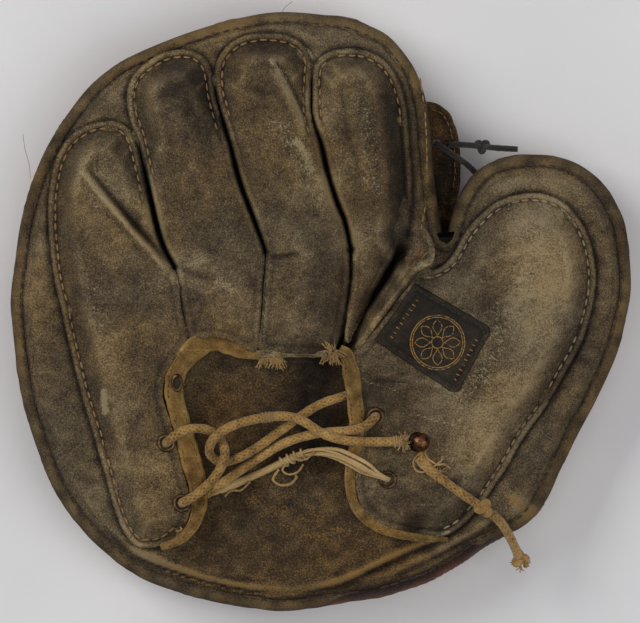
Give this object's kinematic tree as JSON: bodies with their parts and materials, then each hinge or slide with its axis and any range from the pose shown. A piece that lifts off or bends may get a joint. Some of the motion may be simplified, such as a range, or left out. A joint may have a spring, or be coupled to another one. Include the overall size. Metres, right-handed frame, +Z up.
{
  "type": "baseball catcher's mitt",
  "caption": "Vintage left-hand catcher's mitt, palm down: thick round pad, laced open wrist, finger stalls on the back.",
  "frame": {"origin": "centre of the mitt's outline on the floor that its palm rests on", "axes": "+Z up through the back of the mitt, +Y towards the fingertips, +X towards the thumb"},
  "size_m": [0.2814, 0.272, 0.0548],
  "materials": {
    "palm_leather": "worn reddish-brown cowhide, greasy sheen",
    "padding": "felted hair and wool stuffing",
    "back_leather": "dark brown cowhide, mottled tan where worn",
    "welt_leather": "dark brown welt, stitched",
    "binding_leather": "tan binding leather, frayed",
    "eyelet_brass": "tarnished brass",
    "patch_leather": "dark leather with a worn gilt ring",
    "stud_steel": "dull plated steel",
    "web_leather": "brown-orange leather tab",
    "thong": "dark rawhide thong",
    "lace": "tan braided cotton lace, frayed"
  },
  "bodies": {
    "finger_side": {"palm_leather_finger_side": "palm_leather", "padding_finger_side": "padding", "base_leather_finger_side": "back_leather", "edge_welt_finger_side": "welt_leather", "left_back_panel": "back_leather", "ring_finger_stall": "back_leather", "middle_finger_stall": "back_leather", "index_finger_stall": "back_leather", "left_binding": "binding_leather", "centre_binding": "binding_leather", "left_upper_eyelet": "eyelet_brass", "left_lower_eyelet": "eyelet_brass", "spare_eyelet": "eyelet_brass", "web_tab": "web_leather", "lace_left_loop": "lace", "lace_upper_run": "lace", "lace_cross_run": "lace", "lace_frayed_run": "lace", "web_thong": "thong", "web_thong_tail": "thong", "web_thong_knot": "thong"},
    "thumb_side": {"palm_leather_thumb_side": "palm_leather", "padding_thumb_side": "padding", "base_leather_thumb_side": "back_leather", "edge_welt_thumb_side": "welt_leather", "thumb_back_panel": "back_leather", "crotch_gusset": "back_leather", "right_binding": "binding_leather", "right_upper_eyelet": "eyelet_brass", "right_lower_eyelet": "eyelet_brass", "maker_patch": "patch_leather", "lace_stud": "stud_steel", "stud_washer": "stud_steel", "lace_tail": "lace", "lace_tail_knot": "lace", "lace_end_knot": "lace"}
  },
  "joints": [
    {"name": "mitt_close", "type": "hinge", "parent": "finger_side", "child": "thumb_side", "pos_m": [0.056, 0.034, 0.016], "axis": [0.338, 0.9411, 0], "range_deg": [0, 25], "stiffness_Nm_per_rad": 3, "deforming": ["lace_upper_run", "lace_cross_run", "lace_frayed_run", "web_thong", "web_thong_tail"]}
  ]
}
